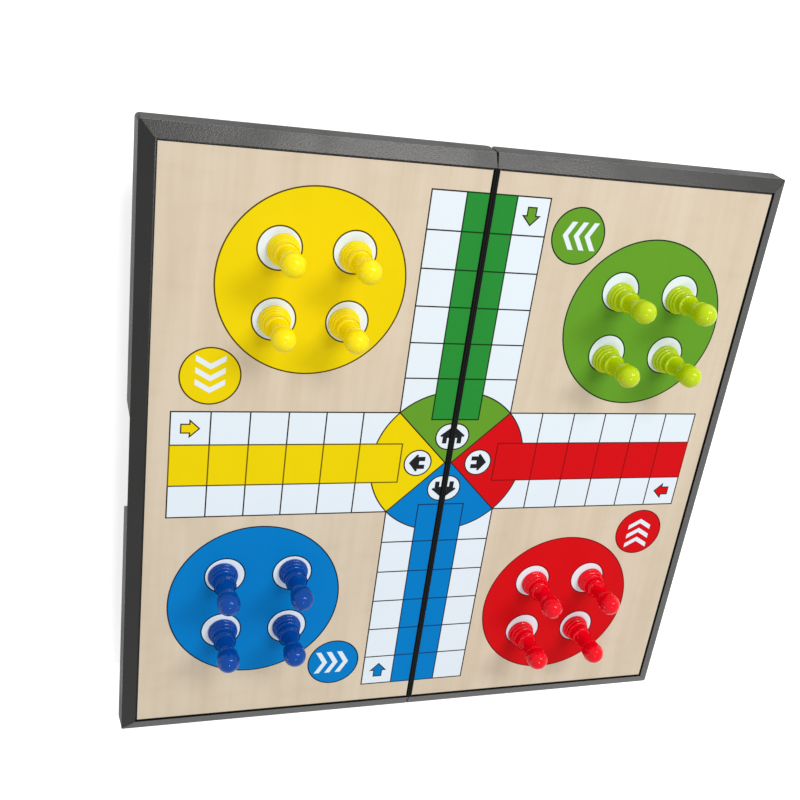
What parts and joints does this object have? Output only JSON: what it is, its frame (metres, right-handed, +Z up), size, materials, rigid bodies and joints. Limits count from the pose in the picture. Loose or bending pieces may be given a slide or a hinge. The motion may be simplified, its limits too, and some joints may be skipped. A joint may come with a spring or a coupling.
{
  "type": "folding ludo board box",
  "caption": "Folding magnetic ludo board: hinged dark plastic halves with printed birch sheets over steel plates that close into a flat box for the loose magnetic pawns.",
  "frame": {"origin": "on the table under the middle of the seam, with the board lying open and its playing faces up", "axes": "+X across the seam towards the half with the lime and red pawns, +Y along the seam towards the back, +Z up out of the playing face"},
  "size_m": [0.25, 0.2484, 0.0338],
  "materials": {
    "tray_plastic": "fine grained moulding",
    "plate_steel": "rolled sheet",
    "printed_birch": "birch print, satin varnish",
    "pin_steel": "drawn wire",
    "magnet": "nickel plated",
    "link_plastic": "smooth moulding",
    "pawn_yellow": "polished",
    "pawn_lime": "polished",
    "pawn_blue": "polished",
    "pawn_red": "polished"
  },
  "bodies": {
    "left_half": {"left_tray": "tray_plastic", "left_steel_plate": "plate_steel", "left_printed_sheet": "printed_birch", "left_hinge_pins": "pin_steel", "left_closing_magnets": "magnet"},
    "hinge_links": {"front_hinge_link": "link_plastic", "rear_hinge_link": "link_plastic"},
    "right_half": {"right_tray": "tray_plastic", "right_steel_plate": "plate_steel", "right_printed_sheet": "printed_birch", "right_hinge_pins": "pin_steel", "right_closing_magnets": "magnet"},
    "yellow_pawn_1_body": {"yellow_pawn_1": "pawn_yellow", "yellow_pawn_magnet_1": "magnet"},
    "yellow_pawn_2_body": {"yellow_pawn_2": "pawn_yellow", "yellow_pawn_magnet_2": "magnet"},
    "yellow_pawn_3_body": {"yellow_pawn_3": "pawn_yellow", "yellow_pawn_magnet_3": "magnet"},
    "yellow_pawn_4_body": {"yellow_pawn_4": "pawn_yellow", "yellow_pawn_magnet_4": "magnet"},
    "lime_pawn_1_body": {"lime_pawn_1": "pawn_lime", "lime_pawn_magnet_1": "magnet"},
    "lime_pawn_2_body": {"lime_pawn_2": "pawn_lime", "lime_pawn_magnet_2": "magnet"},
    "lime_pawn_3_body": {"lime_pawn_3": "pawn_lime", "lime_pawn_magnet_3": "magnet"},
    "lime_pawn_4_body": {"lime_pawn_4": "pawn_lime", "lime_pawn_magnet_4": "magnet"},
    "blue_pawn_1_body": {"blue_pawn_1": "pawn_blue", "blue_pawn_magnet_1": "magnet"},
    "blue_pawn_2_body": {"blue_pawn_2": "pawn_blue", "blue_pawn_magnet_2": "magnet"},
    "blue_pawn_3_body": {"blue_pawn_3": "pawn_blue", "blue_pawn_magnet_3": "magnet"},
    "blue_pawn_4_body": {"blue_pawn_4": "pawn_blue", "blue_pawn_magnet_4": "magnet"},
    "red_pawn_1_body": {"red_pawn_1": "pawn_red", "red_pawn_magnet_1": "magnet"},
    "red_pawn_2_body": {"red_pawn_2": "pawn_red", "red_pawn_magnet_2": "magnet"},
    "red_pawn_3_body": {"red_pawn_3": "pawn_red", "red_pawn_magnet_3": "magnet"},
    "red_pawn_4_body": {"red_pawn_4": "pawn_red", "red_pawn_magnet_4": "magnet"}
  },
  "joints": [
    {"name": "link_fold", "type": "hinge", "parent": "left_half", "child": "hinge_links", "pos_m": [-0.0022, 0, 0.00215], "axis": [0, 1, 0], "range_deg": [0, 90]},
    {"name": "board_fold", "type": "hinge", "parent": "hinge_links", "child": "right_half", "pos_m": [0.0022, 0, 0.00215], "axis": [0, 1, 0], "range_deg": [0, 90]},
    {"name": "yellow_pawn_1_lift", "type": "slide", "parent": "left_half", "child": "yellow_pawn_1_body", "axis": [0, 0, 1], "range_m": [0, 0.03]},
    {"name": "yellow_pawn_2_lift", "type": "slide", "parent": "left_half", "child": "yellow_pawn_2_body", "axis": [0, 0, 1], "range_m": [0, 0.03]},
    {"name": "yellow_pawn_3_lift", "type": "slide", "parent": "left_half", "child": "yellow_pawn_3_body", "axis": [0, 0, 1], "range_m": [0, 0.03]},
    {"name": "yellow_pawn_4_lift", "type": "slide", "parent": "left_half", "child": "yellow_pawn_4_body", "axis": [0, 0, 1], "range_m": [0, 0.03]},
    {"name": "lime_pawn_1_lift", "type": "slide", "parent": "right_half", "child": "lime_pawn_1_body", "axis": [0, 0, 1], "range_m": [0, 0.03]},
    {"name": "lime_pawn_2_lift", "type": "slide", "parent": "right_half", "child": "lime_pawn_2_body", "axis": [0, 0, 1], "range_m": [0, 0.03]},
    {"name": "lime_pawn_3_lift", "type": "slide", "parent": "right_half", "child": "lime_pawn_3_body", "axis": [0, 0, 1], "range_m": [0, 0.03]},
    {"name": "lime_pawn_4_lift", "type": "slide", "parent": "right_half", "child": "lime_pawn_4_body", "axis": [0, 0, 1], "range_m": [0, 0.03]},
    {"name": "blue_pawn_1_lift", "type": "slide", "parent": "left_half", "child": "blue_pawn_1_body", "axis": [0, 0, 1], "range_m": [0, 0.03]},
    {"name": "blue_pawn_2_lift", "type": "slide", "parent": "left_half", "child": "blue_pawn_2_body", "axis": [0, 0, 1], "range_m": [0, 0.03]},
    {"name": "blue_pawn_3_lift", "type": "slide", "parent": "left_half", "child": "blue_pawn_3_body", "axis": [0, 0, 1], "range_m": [0, 0.03]},
    {"name": "blue_pawn_4_lift", "type": "slide", "parent": "left_half", "child": "blue_pawn_4_body", "axis": [0, 0, 1], "range_m": [0, 0.03]},
    {"name": "red_pawn_1_lift", "type": "slide", "parent": "right_half", "child": "red_pawn_1_body", "axis": [0, 0, 1], "range_m": [0, 0.03]},
    {"name": "red_pawn_2_lift", "type": "slide", "parent": "right_half", "child": "red_pawn_2_body", "axis": [0, 0, 1], "range_m": [0, 0.03]},
    {"name": "red_pawn_3_lift", "type": "slide", "parent": "right_half", "child": "red_pawn_3_body", "axis": [0, 0, 1], "range_m": [0, 0.03]},
    {"name": "red_pawn_4_lift", "type": "slide", "parent": "right_half", "child": "red_pawn_4_body", "axis": [0, 0, 1], "range_m": [0, 0.03]}
  ],
  "couplings": [
    {"joint": "link_fold", "follows": "board_fold", "ratio": 1}
  ]
}
